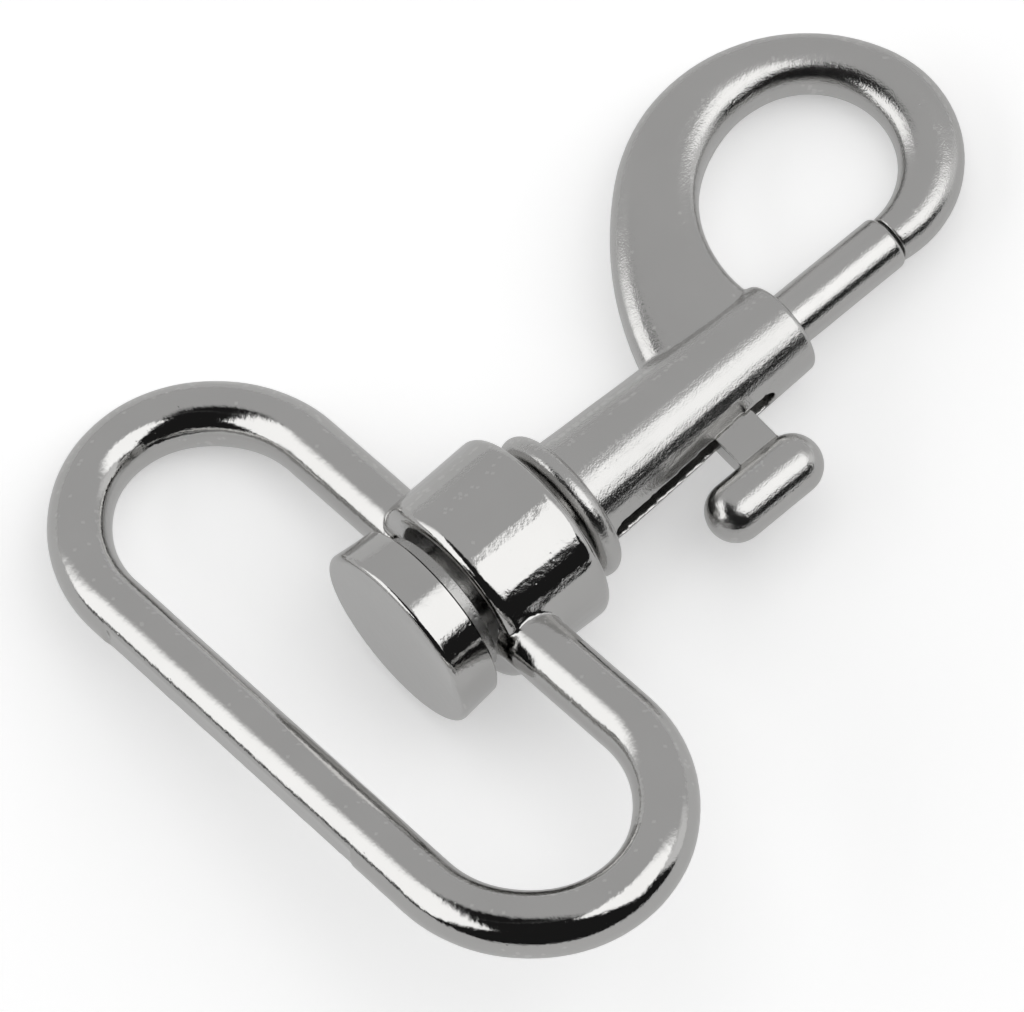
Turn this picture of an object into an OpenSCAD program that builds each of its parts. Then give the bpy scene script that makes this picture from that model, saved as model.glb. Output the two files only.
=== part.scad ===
// Swivel bolt snap with an oval strap loop.
// Every piece is drawn along the swivel axis (X) with the hook in the XY plane,
// then laid down the way the snap rests on a table, Z up.

/* [Strap loop] */
// Clear width of the loop: the strap's width plus a little play
loop_inner_w = 39; // [34:1:46]
// Clear height of the loop, from near bar to far bar
loop_inner_h = 10.6; // [9:0.2:13]
// Diameter of the loop's round bar
bar_d = 3.6; // [3:0.1:4]
// Length of each rounded end, measured along the bar's centre line
end_depth = 8; // [7.6:0.1:10]
// Length of the shallow flat on the outside of the far bar
flat_l = 21; // [10:1:24]

/* [Hub and head] */
// Diameter of the hub at its rear edge
hub_d = 11.8; // [11:0.1:13]
// Length of the hub along the swivel axis
hub_l = 6.6; // [5.5:0.1:8]
// Diameter of the swivel head
head_d = 11.2; // [9.5:0.1:12]
// Thickness of the swivel head
head_t = 2.6; // [2.2:0.1:3.5]
// Diameter of the washer between head and hub
washer_d = 8.6; // [7:0.1:9.4]
// Diameter of the hollow tail the hub turns on
tail_d = 5.2; // [4.8:0.1:5.6]

/* [Barrel and bolt] */
// Diameter of the collar behind the hub
collar_d = 9.2; // [8.6:0.1:10.4]
// Length of the barrel from the collar to its mouth
barrel_l = 15.6; // [14.5:0.1:16.5]
// Diameter of the barrel at its mouth
mouth_d = 5.6; // [5.2:0.1:6.4]
// Diameter of the bolt
bolt_d = 3.2; // [2.6:0.1:3.4]
// Length of the knob along the barrel
knob_l = 7.6; // [6:0.1:9]
// Diameter of the knob
knob_d = 3.5; // [3:0.1:4]

/* [Hook] */
// Thickness of the hook at its web, across the hook's plane
hook_t = 3.8; // [3.2:0.1:4.4]
// Thickness of the hook at its nose
nose_t = 3; // [2.6:0.1:3.4]
// Squareness of the web's outer edge; 2 is an oval
web_power = 2.8; // [2:0.1:4]
// Squareness of the web's edge on the eye's side
eye_power = 4.4; // [2:0.1:5]
// Squareness of the nose's cross-section
nose_power = 2.2; // [2:0.1:3]

/* [How it lies] */
// Turn of the hook about the swivel axis, from level
hook_roll = -1; // [-15:1:15]
// Turn of the strap loop about the swivel axis, from level
loop_roll = -14.65; // [-30:0.05:30]
// Slope of the swivel axis, hook end down
axis_slope = 7.2; // [0:0.01:12]

/* [Hidden] */
$fn = 96;

// Where the swivel axis passes over the object's base point
axis_at = [-8.07, 0, 6.04];

// Stations along the swivel axis
hub_x = -4.5;
hub_end = hub_x + hub_l;
collar_t = 1.5;
collar_x = hub_end + 0.6;
barrel_x = collar_x + collar_t;
mouth_x = barrel_x + barrel_l;
washer_t = 0.85;
washer_x = hub_x - 0.45 - washer_t;
head_x = washer_x - head_t;
head_floor = 1.4;
tail_end = head_x + head_floor;

// Barrel, slot and bolt
barrel_r = 3.4;
run = 0.06;
bore_r = bolt_d / 2 + run;
slot_w = 1.6;
slot_x = [barrel_x + 0.25, 16.6];
bolt_x = [11.4, 27.5];
neck_x = [12.15, 14.85];
neck_t = 1.4;
neck_top = 0.8;
knob_at = [12.4, -6.55];
fit = 0.02;

// Strap loop centre line: each rounded end is a tip arc between two side arcs.
// They meet where the radius points along join, a 3-4-5 direction that keeps the joint exact.
join = [0.6, 0.8];
half_h = (loop_inner_h + bar_d) / 2;
half_w = (loop_inner_w + bar_d) / 2;
bar_x = -3.28;
loop_x = bar_x - half_h;
straight_y = half_w - end_depth;
arc_gap = (end_depth - half_h) / (join.x + join.y - 1);
side_r = half_h + join.x * arc_gap;
tip_r = side_r - arc_gap;
flat_mid = 1.5;
flat_cut = 0.25;

// Hook outline: each arc starts where the one before ends, with the same tangent
flank_r = 19.88;
crown_r = 10.8;
nose_r = 7.18;
flank_end = 127.5;
crown_end = 24.7;
flank_c = [31.03, -3.04];
crown_c = next_centre(flank_c, flank_r - crown_r, flank_end);
nose_c = next_centre(crown_c, crown_r - nose_r, crown_end);
// Eye outline, made the same way
back_r = 7.5;
front_r = 4.8;
back_end = 78.3;
back_c = [26.85, 3.49];
front_c = next_centre(back_c, back_r - front_r, back_end);
// Cross-sections stand on rays from this point; the last one is the nose's end face
ray_c = [27.6, 6];
ray_from = 206;
ray_to = -90;
ray_steps = 72;
section_sides = 32;

// Spring
wire_d = 0.4;
spring_r = 1.34;
spring_turns = 13;
wire_sides = 8;
turn_steps = 20;

function next_centre(c, step, a) = c + step * [cos(a), sin(a)];

// Lays a piece down: its own turn about the swivel axis, then the axis's slope.
module laid(roll) {
    translate(axis_at)
        rotate([0, axis_slope, 0])
            rotate([roll, 0, 0])
                children();
}

// Turns a profile, drawn as [radius, x], about the swivel axis.
module turned() {
    rotate([0, 90, 0])
        rotate_extrude()
            children();
}

module rod(d, x0, x1) {
    translate([x0, 0, 0])
        rotate([0, 90, 0])
            cylinder(d = d, h = x1 - x0);
}

// ---- strap loop ----

// Part of a ring of bar about the origin, kept inside a flat outline.
module ring_part(r, outline) {
    intersection() {
        rotate_extrude(angle = 180)
            translate([r, 0])
                circle(d = bar_d);
        linear_extrude(height = 2 * bar_d, center = true)
            polygon(outline);
    }
}

module bar_straight(x, y0, y1) {
    translate([x, y1, 0])
        rotate([90, 0, 0])
            cylinder(d = bar_d, h = y1 - y0);
}

module loop_end() {
    far = 25 * join;
    translate([loop_x, straight_y + join.y * arc_gap, 0])
        ring_part(tip_r, [[0, 0], far, [-far.x, far.y]]);
    for (side = [-1, 1])
        translate([loop_x + side * (half_h - side_r), straight_y, 0])
            mirror([side < 0 ? 1 : 0, 0, 0])
                ring_part(side_r, [far, -far, [2 * far.y, -far.y]]);
    bar_straight(bar_x, washer_d / 2 + 0.2, straight_y);
}

module hub() {
    edge_r = 0.65;
    rear_r = hub_d / 2;
    front_r = rear_r - 0.15;
    turned() {
        polygon([
            [0, hub_x],
            [front_r - edge_r, hub_x],
            [front_r, hub_x + edge_r],
            [rear_r, hub_end - edge_r],
            [rear_r - edge_r, hub_end],
            [0, hub_end]
        ]);
        translate([front_r - edge_r, hub_x + edge_r])
            circle(r = edge_r);
        translate([rear_r - edge_r, hub_end - edge_r])
            circle(r = edge_r);
    }
}

module strap_loop() {
    color([0.56, 0.56, 0.55])
        laid(loop_roll)
            difference() {
                union() {
                    hub();
                    loop_end();
                    mirror([0, 1, 0])
                        loop_end();
                    bar_straight(loop_x - half_h, -straight_y, straight_y);
                }
                rod(tail_d + 2 * run, hub_x - 1, hub_end + 1);
                translate([loop_x - half_h - bar_d / 2 - 1 + flat_cut, flat_mid - flat_l / 2, -bar_d])
                    cube([1, flat_l, 2 * bar_d]);
            }
}

// ---- hook body ----

// Distance from ray_c to a circle around it, along the direction a.
function ray_hit(c, r, a) =
    let (d = ray_c - c, p = d * [cos(a), sin(a)])
    sqrt(p * p - d * d + r * r) - p;

function angle_to(p) = let (d = p - ray_c) atan2(d.y, d.x);

flank_ray = angle_to(next_centre(flank_c, flank_r, flank_end));
crown_ray = angle_to(next_centre(crown_c, crown_r, crown_end));
back_ray = angle_to(next_centre(back_c, back_r, back_end));

function outer_at(a) =
    a > flank_ray ? ray_hit(flank_c, flank_r, a)
    : a > crown_ray ? ray_hit(crown_c, crown_r, a)
    : ray_hit(nose_c, nose_r, a);

function inner_at(a) =
    a > back_ray ? ray_hit(back_c, back_r, a) : ray_hit(front_c, front_r, a);

function blunt(x, power) = sign(x) * pow(abs(x), 2 / power);

function mix(a, b, t) = a + (b - a) * min(max(t, 0), 1);

// One point of a cross-section: flat with a tight eye edge at the web, nearly round from the crown on.
function hook_point(i, k) =
    let (
        s = i / ray_steps,
        a = mix(ray_from, ray_to, s),
        half = (outer_at(a) - inner_at(a)) / 2,
        b = 360 * (k + 0.5) / section_sides,
        power = cos(b) > 0 ? mix(web_power, nose_power, s) : mix(eye_power, nose_power, (s - 0.1) / 0.25),
        rise = mix(hook_t, nose_t, s) / 2,
        r = outer_at(a) - half + half * blunt(cos(b), power)
    )
    [ray_c.x + r * cos(a), ray_c.y + r * sin(a), rise * blunt(sin(b), power)];

module hook() {
    n = section_sides;
    points = [
        for (i = [0 : ray_steps])
            for (k = [0 : n - 1])
                hook_point(i, k)
    ];
    walls = [
        for (i = [0 : ray_steps - 1])
            for (k = [0 : n - 1])
                let (j = (k + 1) % n)
                [i * n + k, (i + 1) * n + k, (i + 1) * n + j, i * n + j]
    ];
    first = [for (k = [0 : n - 1]) k];
    last = [for (k = [0 : n - 1]) ray_steps * n + n - 1 - k];
    polyhedron(points, concat(walls, [first, last]));
}

module barrel() {
    lip = 0.35;
    mouth_r = mouth_d / 2;
    turned() {
        polygon([
            [0, collar_x],
            [barrel_r, collar_x],
            [barrel_r, barrel_x],
            [mouth_r, mouth_x - lip],
            [mouth_r - lip, mouth_x],
            [0, mouth_x]
        ]);
        translate([mouth_r - lip, mouth_x - lip])
            circle(r = lip);
        translate([0, collar_x])
            square([(collar_d - collar_t) / 2, collar_t]);
        translate([(collar_d - collar_t) / 2, collar_x + collar_t / 2])
            circle(d = collar_t);
    }
}

// Slot for the knob's neck, closed and rounded at both ends.
module slot() {
    for (x = [slot_x[0] + slot_w / 2, slot_x[1] - slot_w / 2])
        translate([x, 0, 0])
            rotate([90, 0, 0])
                cylinder(d = slot_w, h = 5);
    translate([slot_x[0] + slot_w / 2, -5, -slot_w / 2])
        cube([slot_x[1] - slot_x[0] - slot_w, 5, slot_w]);
}

// Long tapering flat beside the slot, one on each side.
module slot_relief() {
    depth_r = 2.87;
    lean = 3.4;
    turn = 22;
    for (side = [-1, 1])
        rotate([side * turn, 0, 0])
            translate([14.4, -depth_r, 0])
                rotate([0, 0, lean])
                    translate([-10, -2, -2])
                        cube([10, 2, 4]);
}

module hook_body() {
    color([0.58, 0.58, 0.57])
        laid(hook_roll)
            difference() {
                union() {
                    hook();
                    barrel();
                    rod(tail_d, tail_end, collar_x);
                }
                rod(2 * bore_r, tail_end - 1, mouth_x + 1);
                slot();
                slot_relief();
            }
}

// ---- head and washer ----

module swivel_cap() {
    rim_r = 0.3;
    face_r = head_d / 2;
    rear_r = face_r - 0.2;
    color([0.56, 0.56, 0.55])
        laid(hook_roll)
            difference() {
                turned() {
                    polygon([
                        [0, head_x],
                        [face_r - rim_r, head_x],
                        [face_r, head_x + rim_r],
                        [rear_r, washer_x - 0.1],
                        [rear_r - 0.1, washer_x],
                        [0, washer_x]
                    ]);
                    translate([face_r - rim_r, head_x + rim_r])
                        circle(r = rim_r);
                }
                rod(tail_d + 2 * fit, tail_end, washer_x + 1);
            }
}

module swivel_washer() {
    color([0.5, 0.5, 0.49])
        laid(hook_roll)
            difference() {
                rod(washer_d, washer_x, washer_x + washer_t);
                rod(tail_d + 2 * fit, washer_x - 1, washer_x + washer_t + 1);
            }
}

// ---- bolt, knob and spring ----

module neck_block(play) {
    translate([neck_x[0] - play, -4.6 - knob_d / 2 + 1, -neck_t / 2 - play])
        cube([neck_x[1] - neck_x[0] + 2 * play, neck_top + 3.6 + knob_d / 2, neck_t + 2 * play]);
}

module bolt() {
    tip_r = 0.3;
    r = bolt_d / 2;
    color([0.58, 0.58, 0.57])
        laid(hook_roll)
            difference() {
                turned() {
                    translate([0, bolt_x[0]])
                        square([r, bolt_x[1] - tip_r - bolt_x[0]]);
                    translate([0, bolt_x[0]])
                        square([r - tip_r, bolt_x[1] - bolt_x[0]]);
                    translate([r - tip_r, bolt_x[1] - tip_r])
                        circle(r = tip_r);
                }
                neck_block(fit);
            }
}

module thumb_knob() {
    reach = (knob_l - knob_d) / 2;
    color([0.57, 0.57, 0.56])
        laid(hook_roll) {
            neck_block(0);
            translate([knob_at.x, knob_at.y, 0]) {
                rod(knob_d, -reach, reach);
                for (x = [-reach, reach])
                    translate([x, 0, 0])
                        sphere(d = knob_d);
            }
        }
}

// Spring centre line: one closed turn at each end, even turns between.
spring_x0 = tail_end + wire_d / 2 + 0.01;
spring_x1 = bolt_x[0] - wire_d / 2 - 0.01;
open_pitch = (spring_x1 - spring_x0 - 2 * wire_d) / (spring_turns - 2);

function coil_x(t) =
    t < 1 ? spring_x0 + t * wire_d
    : t > spring_turns - 1 ? spring_x1 - (spring_turns - t) * wire_d
    : spring_x0 + wire_d + (t - 1) * open_pitch;

function wire_point(t, a) =
    let (r = spring_r + wire_d / 2 * cos(a))
    [coil_x(t) + wire_d / 2 * sin(a), r * cos(360 * t), r * sin(360 * t)];

module bolt_spring() {
    steps = spring_turns * turn_steps;
    points = [
        for (i = [0 : steps])
            for (k = [0 : wire_sides - 1])
                wire_point(i / turn_steps, 360 * k / wire_sides)
    ];
    walls = [
        for (i = [0 : steps - 1])
            for (k = [0 : wire_sides - 1])
                let (n = (k + 1) % wire_sides, a = i * wire_sides, b = a + wire_sides)
                [a + k, a + n, b + n, b + k]
    ];
    first = [for (k = [0 : wire_sides - 1]) wire_sides - 1 - k];
    last = [for (k = [0 : wire_sides - 1]) steps * wire_sides + k];
    color([0.6, 0.6, 0.6])
        laid(hook_roll)
            polyhedron(points, concat(walls, [first, last]));
}

hook_body();
strap_loop();
swivel_cap();
swivel_washer();
bolt();
thumb_knob();
bolt_spring();
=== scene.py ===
"""Looks of a swivel bolt snap: plated metal on a pale floor, seen from above."""
import math

import bmesh
import bpy
from mathutils import Matrix, Vector, noise


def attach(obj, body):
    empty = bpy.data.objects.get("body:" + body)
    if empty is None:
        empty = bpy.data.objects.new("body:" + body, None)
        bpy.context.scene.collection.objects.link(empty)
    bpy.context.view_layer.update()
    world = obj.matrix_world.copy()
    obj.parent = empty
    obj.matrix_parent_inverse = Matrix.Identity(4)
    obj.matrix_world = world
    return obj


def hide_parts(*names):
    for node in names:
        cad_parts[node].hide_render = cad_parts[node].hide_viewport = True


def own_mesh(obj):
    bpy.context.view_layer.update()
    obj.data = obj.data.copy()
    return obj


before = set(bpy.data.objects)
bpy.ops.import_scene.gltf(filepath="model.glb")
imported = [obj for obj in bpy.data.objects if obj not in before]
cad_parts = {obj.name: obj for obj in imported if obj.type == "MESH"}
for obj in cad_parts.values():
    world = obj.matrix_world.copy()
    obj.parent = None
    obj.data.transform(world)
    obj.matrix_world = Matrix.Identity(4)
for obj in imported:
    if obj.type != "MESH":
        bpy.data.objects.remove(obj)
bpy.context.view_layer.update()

MM = 0.001

# ---- camera ----

VIEW_AZIMUTH = -27.10
VIEW_ELEVATION = 69.80
VIEW_ROLL = -15.73
VIEW_DISTANCE = 486.5 * MM
VIEW_TARGET = Vector((-6.570, 1.714, 6.0)) * MM
SENSOR = 36.0
LENS = 316.4
NEAREST = 0.01
FARTHEST = 20


def make_camera():
    """The photograph's viewpoint: high over the -X -Y side, with the frame rolled."""
    azimuth = math.radians(VIEW_AZIMUTH)
    elevation = math.radians(VIEW_ELEVATION)
    roll = math.radians(VIEW_ROLL)
    flat = math.cos(elevation)
    back = Vector((math.sin(azimuth) * flat, -math.cos(azimuth) * flat, math.sin(elevation)))
    level = Vector((math.cos(azimuth), math.sin(azimuth), 0))
    right = math.cos(roll) * level + math.sin(roll) * back.cross(level)
    data = bpy.data.cameras.new("camera")
    data.sensor_width = SENSOR
    data.lens = LENS
    data.clip_start = NEAREST
    data.clip_end = FARTHEST
    camera = bpy.data.objects.new("camera", data)
    bpy.context.collection.objects.link(camera)
    turn = Matrix((right, back.cross(right), back)).transposed()
    camera.matrix_world = Matrix.Translation(VIEW_TARGET + back * VIEW_DISTANCE) @ turn.to_4x4()
    bpy.context.scene.camera = camera


make_camera()

# ---- node helpers ----


def add_node(tree, kind, inputs=None, **settings):
    """A new node with its settings made and its inputs fed by numbers or by other sockets."""
    made = tree.nodes.new(kind)
    for name, value in settings.items():
        setattr(made, name, value)
    for key, value in (inputs or {}).items():
        if isinstance(value, bpy.types.NodeSocket):
            tree.links.new(value, made.inputs[key])
        else:
            made.inputs[key].default_value = value
    return made


def math_node(tree, operation, a, b=0.0):
    """The result of an operation on numbers or sockets."""
    return add_node(tree, "ShaderNodeMath", {0: a, 1: b}, operation=operation).outputs[0]


def smooth_step(tree, value, low, high):
    """0 below low, 1 above high, smooth between."""
    fed = {"Value": value, "From Min": low, "From Max": high, "To Min": 0.0, "To Max": 1.0}
    made = add_node(tree, "ShaderNodeMapRange", fed, interpolation_type="SMOOTHSTEP")
    return made.outputs["Result"]


def along(tree, vector, axis):
    """The vector's length along an axis."""
    made = add_node(tree, "ShaderNodeVectorMath", {0: vector, 1: axis}, operation="DOT_PRODUCT")
    return made.outputs["Value"]


# ---- studio ----

# Places in the room are (right, up) as the camera's frame has them, in degrees from overhead
ROOM_LIGHT = 0.52
SOFTBOX_LIGHT = 1.5
WALL_LIGHT = 0.8
DARK_LIGHT = 0.015
LEFT_BOX = ((-86, 20), (-38, 20), (-34, -41), (-72, -43))
RIGHT_BOX = ((25, 24), (60, 24), (56, -28), (4, -21))
SIDE_WALL = ((60, 45), (89, 40), (89, -10), (58, -10))
DARK_CORNER = ((-36, 22), (4, -12), (-36, -14))
DARK_BELOW = -12

# How far each of them fades on either side of its outline, in radians. A softbox's first side is its top
WALL_EDGE = 0.1
DARK_EDGE = 0.04
CORNER_EDGE = 0.08
BOX_EDGES = (0.15, 0.03, 0.03, 0.03)


def room_point(right, up):
    """The direction that many degrees from overhead, towards the frame's right and top."""
    heading = math.radians(VIEW_AZIMUTH + VIEW_ROLL)
    tilt = math.radians(math.hypot(right, up))
    turn = math.atan2(up, right)
    flat = Vector((math.cos(turn), math.sin(turn), 0)) * math.sin(tilt)
    return Matrix.Rotation(heading, 3, "Z") @ flat + Vector((0, 0, math.cos(tilt)))


def patch(tree, direction, corners, edges):
    """1 inside the corners as seen from the object, 0 outside, with one softness per side."""
    inside = 1.0
    places = [room_point(*corner) for corner in corners]
    middle = sum(places, Vector())
    for here, there, edge in zip(places, places[1:] + places[:1], edges):
        side = here.cross(there).normalized()
        if side.dot(middle) < 0:
            side = -side
        within = smooth_step(tree, along(tree, direction, side), -edge, edge)
        inside = math_node(tree, "MULTIPLY", inside, within)
    return inside


def paint(tree, under, mask, light):
    """under, with light where the mask is 1."""
    fed = {"Factor": mask, "A": under, "B": light}
    return add_node(tree, "ShaderNodeMix", fed, data_type="FLOAT").outputs["Result"]


def make_world():
    """A grey room, dark where the photographer stands, with a softbox on each side of them."""
    world = bpy.data.worlds.new("studio")
    world.use_nodes = True
    tree = world.node_tree
    tree.nodes.clear()
    direction = add_node(tree, "ShaderNodeTexCoord").outputs["Generated"]
    dark_from = room_point(0, DARK_BELOW).cross(room_point(90, 0))
    if dark_from.dot(room_point(0, -90)) < 0:
        dark_from = -dark_from
    photographer = smooth_step(tree, along(tree, direction, dark_from), -DARK_EDGE, DARK_EDGE)
    wall = patch(tree, direction, SIDE_WALL, [WALL_EDGE] * len(SIDE_WALL))
    corner = patch(tree, direction, DARK_CORNER, [CORNER_EDGE] * len(DARK_CORNER))
    light = paint(tree, ROOM_LIGHT, wall, WALL_LIGHT)
    light = paint(tree, light, photographer, DARK_LIGHT)
    light = paint(tree, light, corner, DARK_LIGHT)
    for softbox in (LEFT_BOX, RIGHT_BOX):
        light = paint(tree, light, patch(tree, direction, softbox, BOX_EDGES), SOFTBOX_LIGHT)
    background = add_node(tree, "ShaderNodeBackground", {"Strength": light})
    background.inputs["Color"].default_value = (1.0, 1.0, 1.0, 1.0)
    output = add_node(tree, "ShaderNodeOutputWorld")
    tree.links.new(background.outputs[0], output.inputs["Surface"])
    bpy.context.scene.world = world


FLOOR_HALF = 0.6
FLOOR_GREY = 0.92
FLOOR_GLOW = 0.3
FLOOR_ROUGHNESS = 0.9
MIRRORED_GREY = 0.8
FILL_SIZE = 0.5
FILL_HEIGHT = 0.5
FILL_POWER = 0.6


def make_floor(name, grey, glow):
    """A plain pale floor, which glows a little by itself if glow is above 0."""
    mesh = bpy.data.meshes.new(name)
    corners = [(x * FLOOR_HALF, y * FLOOR_HALF, 0) for x, y in ((-1, -1), (1, -1), (1, 1), (-1, 1))]
    mesh.from_pydata(corners, [], [(0, 1, 2, 3)])
    floor = bpy.data.objects.new(name, mesh)
    bpy.context.collection.objects.link(floor)
    material = bpy.data.materials.new(name)
    material.use_nodes = True
    shader = material.node_tree.nodes["Principled BSDF"]
    shader.inputs["Base Color"].default_value = (grey, grey, grey, 1)
    shader.inputs["Roughness"].default_value = FLOOR_ROUGHNESS
    shader.inputs["Specular IOR Level"].default_value = 0.0
    shader.inputs["Emission Color"].default_value = (1, 1, 1, 1)
    shader.inputs["Emission Strength"].default_value = glow
    mesh.materials.append(material)
    return floor


def make_fill():
    """Soft light from overhead that only the floor takes up."""
    data = bpy.data.lights.new("fill", "AREA")
    data.size = FILL_SIZE
    data.energy = FILL_POWER
    lamp = bpy.data.objects.new("fill", data)
    lamp.location = (0, 0, FILL_HEIGHT)
    bpy.context.collection.objects.link(lamp)
    lamp.visible_glossy = False
    lamp.visible_camera = False


make_world()
make_fill()

# The camera sees one floor, and the metal mirrors another, greyer one
seen = make_floor("floor", FLOOR_GREY, FLOOR_GLOW)
seen.visible_glossy = False
seen.visible_shadow = False
mirrored = make_floor("floor_in_reflections", MIRRORED_GREY, 0.0)
mirrored.visible_camera = False
mirrored.visible_diffuse = False
mirrored.visible_shadow = False
bpy.context.scene.view_settings.view_transform = "Standard"

# ---- plated metal ----

TINT = (0.585, 0.58, 0.57)

# The plating's colour: clouds, and bare paler metal on the sharpest edges
CLOUD_SIZE = 5 * MM
CLOUD_DETAIL = 3.0
CLOUD_SPREAD = 0.10
WORN_FROM = 0.53
WORN_FULL = 0.6
WORN_LIFT = 0.12

# Its roughness: soft hazy patches, and thin scratches
HAZE_SIZE = 1.6 * MM
HAZE_DETAIL = 4.0
HAZE_RANGE = (0.35, 0.75)
CLEAN_SHARE = 0.85
HAZE_SHARE = 0.35
SCRATCH_SIZE = 0.5 * MM
SCRATCH_DETAIL = 2.0
SCRATCH_STRETCH = (0.12, 1.0, 1.0)
SCRATCH_TURN = (0.3, 0.2, 0.6)
SCRATCH_RANGE = (0.66, 0.72)
SCRATCH_ROUGHNESS = 0.06

# Its relief: the casting's orange peel, the plating's grain, and pits
PEEL_DETAIL = 5.0
GRAIN_DETAIL = 2.0
PIT_SPACING = 0.9 * MM
PIT_RANGE = (0.03, 0.09)
PIT_DEPTH = 0.006 * MM
COARSE = 0.6


def mottle(tree, place, size, detail, roughness=0.5):
    """Soft random values about 0.5, with patches of that size."""
    fed = {"Vector": place, "Scale": 1 / size, "Detail": detail, "Roughness": roughness}
    return add_node(tree, "ShaderNodeTexNoise", fed).outputs["Fac"]


def relief(tree, height, depth, below=None):
    """The surface's direction with hills of that depth, on top of the relief below."""
    fed = {"Strength": 1.0, "Distance": depth, "Height": height}
    if below is not None:
        fed["Normal"] = below
    return add_node(tree, "ShaderNodeBump", fed).outputs["Normal"]


def plating_colour(tree, place, tone):
    """The tint, a little uneven over millimetres, and paler on the sharpest edges."""
    cloud = mottle(tree, place, CLOUD_SIZE, CLOUD_DETAIL)
    sharpness = add_node(tree, "ShaderNodeNewGeometry").outputs["Pointiness"]
    worn = smooth_step(tree, sharpness, WORN_FROM, WORN_FULL)
    level = math_node(tree, "MULTIPLY", cloud, CLOUD_SPREAD)
    level = math_node(tree, "ADD", level, 1 - CLOUD_SPREAD / 2)
    level = math_node(tree, "ADD", level, math_node(tree, "MULTIPLY", worn, WORN_LIFT))
    fed = {0: [tone * part for part in TINT], "Scale": level}
    return add_node(tree, "ShaderNodeVectorMath", fed, operation="SCALE").outputs["Vector"]


def plating_roughness(tree, place, rough):
    """Hazed in soft patches, with thin handling scratches."""
    haze = smooth_step(tree, mottle(tree, place, HAZE_SIZE, HAZE_DETAIL, COARSE), *HAZE_RANGE)
    fed = {"Vector": place, "Scale": SCRATCH_STRETCH, "Rotation": SCRATCH_TURN}
    rubbed = add_node(tree, "ShaderNodeMapping", fed).outputs["Vector"]
    scratch = smooth_step(tree, mottle(tree, rubbed, SCRATCH_SIZE, SCRATCH_DETAIL), *SCRATCH_RANGE)
    level = math_node(tree, "MULTIPLY", haze, HAZE_SHARE * rough)
    level = math_node(tree, "ADD", level, CLEAN_SHARE * rough)
    return math_node(tree, "ADD", level, math_node(tree, "MULTIPLY", scratch, SCRATCH_ROUGHNESS))


def plating_relief(tree, place, peel, grain):
    """Orange peel of the casting, grain of the plating, and a few pits."""
    peel_size, peel_slope = peel
    grain_size, grain_slope = grain
    hills = mottle(tree, place, peel_size, PEEL_DETAIL, COARSE)
    surface = relief(tree, hills, peel_size * peel_slope)
    specks = mottle(tree, place, grain_size, GRAIN_DETAIL)
    surface = relief(tree, specks, grain_size * grain_slope, surface)
    fed = {"Vector": place, "Scale": 1 / PIT_SPACING}
    to_pit = add_node(tree, "ShaderNodeTexVoronoi", fed).outputs["Distance"]
    return relief(tree, smooth_step(tree, to_pit, *PIT_RANGE), PIT_DEPTH, surface)


def plated_metal(name, rough, peel, grain, tone=1.0):
    """Dark nickel plating. peel and grain are (size, slope) of the coarse and fine unevenness."""
    material = bpy.data.materials.new(name)
    material.use_nodes = True
    tree = material.node_tree
    shader = tree.nodes["Principled BSDF"]
    place = add_node(tree, "ShaderNodeTexCoord").outputs["Object"]
    shader.inputs["Metallic"].default_value = 1.0
    tree.links.new(plating_colour(tree, place, tone), shader.inputs["Base Color"])
    tree.links.new(plating_roughness(tree, place, rough), shader.inputs["Roughness"])
    tree.links.new(plating_relief(tree, place, peel, grain), shader.inputs["Normal"])
    return material


glossy = plated_metal("plated_cast", 0.04, (0.5 * MM, 0.03), (0.11 * MM, 0.014))
head = plated_metal("plated_head", 0.04, (0.5 * MM, 0.028), (0.11 * MM, 0.014))
satin = plated_metal("plated_satin", 0.18, (0.6 * MM, 0.03), (0.10 * MM, 0.15))
bolt_satin = plated_metal("plated_bolt", 0.16, (0.6 * MM, 0.02), (0.10 * MM, 0.13))
washer_steel = plated_metal("washer_steel", 0.3, (0.4 * MM, 0.10), (0.08 * MM, 0.14), 0.72)
spring_wire = plated_metal("spring_wire", 0.25, (0.3 * MM, 0.03), (0.06 * MM, 0.05))

# ---- pieces ----

# The castings are made in millimetres
WELD = 0.0005
SMOOTHING = 0.5


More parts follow.
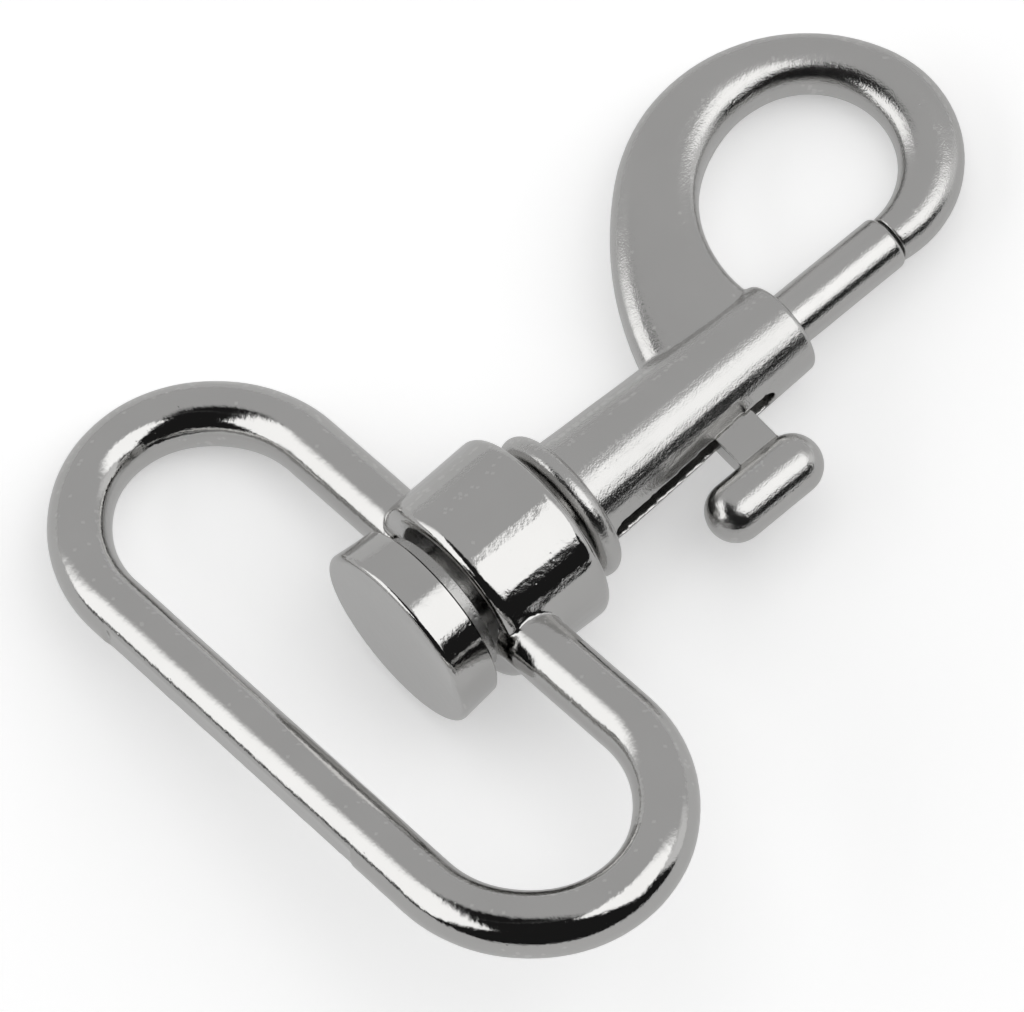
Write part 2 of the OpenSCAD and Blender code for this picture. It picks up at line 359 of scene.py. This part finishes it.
def cast_copy(node, body, material, voxel, rounds, swell):
    """A casting in place of a CAD node.

    Its corners are softened by rounds of smoothing over voxels of that size. swell is the
    (depth, length) of the unevenness that a mould leaves in its faces.
    """
    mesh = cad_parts[node].data.copy()
    mesh.transform(Matrix.Scale(1 / MM, 4))
    edit = bmesh.new()
    edit.from_mesh(mesh)
    bmesh.ops.remove_doubles(edit, verts=edit.verts, dist=WELD)
    edit.to_mesh(mesh)
    edit.free()
    rough_cast = bpy.data.objects.new("rough_cast", mesh)
    bpy.context.collection.objects.link(rough_cast)
    remesh = rough_cast.modifiers.new("remesh", "REMESH")
    remesh.mode = "VOXEL"
    remesh.voxel_size = voxel
    smooth = rough_cast.modifiers.new("smooth", "SMOOTH")
    smooth.factor = SMOOTHING
    smooth.iterations = rounds
    graph = bpy.context.evaluated_depsgraph_get()
    cast = bpy.data.meshes.new_from_object(rough_cast.evaluated_get(graph))
    bpy.data.objects.remove(rough_cast)
    depth, length = swell
    places = [vertex.co.copy() for vertex in cast.vertices]
    normals = [vertex.normal.copy() for vertex in cast.vertices]
    moved = [at + out * (noise.noise(at / length) * depth) for at, out in zip(places, normals)]
    cast.vertices.foreach_set("co", [part for at in moved for part in at])
    cast.transform(Matrix.Scale(MM, 4))
    cast.shade_smooth()
    cast.materials.clear()
    cast.materials.append(material)
    piece = bpy.data.objects.new(node + "_cast", cast)
    bpy.context.collection.objects.link(piece)
    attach(piece, body)
    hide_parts(node)


cast_copy("hook_body", "hook", satin, voxel=0.09, rounds=5, swell=(0.012, 2.4))
cast_copy("strap_loop", "loop", glossy, voxel=0.09, rounds=4, swell=(0.012, 2.4))
cast_copy("thumb_knob", "gate", bolt_satin, voxel=0.06, rounds=3, swell=(0.008, 1.5))


def make_spring():
    """The coil in the bore, in spring wire, carried by the hook as the CAD part shapes it."""
    coil = bpy.data.objects.new("bolt_spring_coil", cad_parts["bolt_spring"].data.copy())
    bpy.context.collection.objects.link(coil)
    coil.data.materials.clear()
    coil.data.materials.append(spring_wire)
    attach(coil, "hook")
    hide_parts("bolt_spring")
    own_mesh(coil)


make_spring()

for name, made in {
    "swivel_cap": head,
    "swivel_washer": washer_steel,
    "bolt": bolt_satin,
}.items():
    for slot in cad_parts[name].material_slots:
        slot.material = made
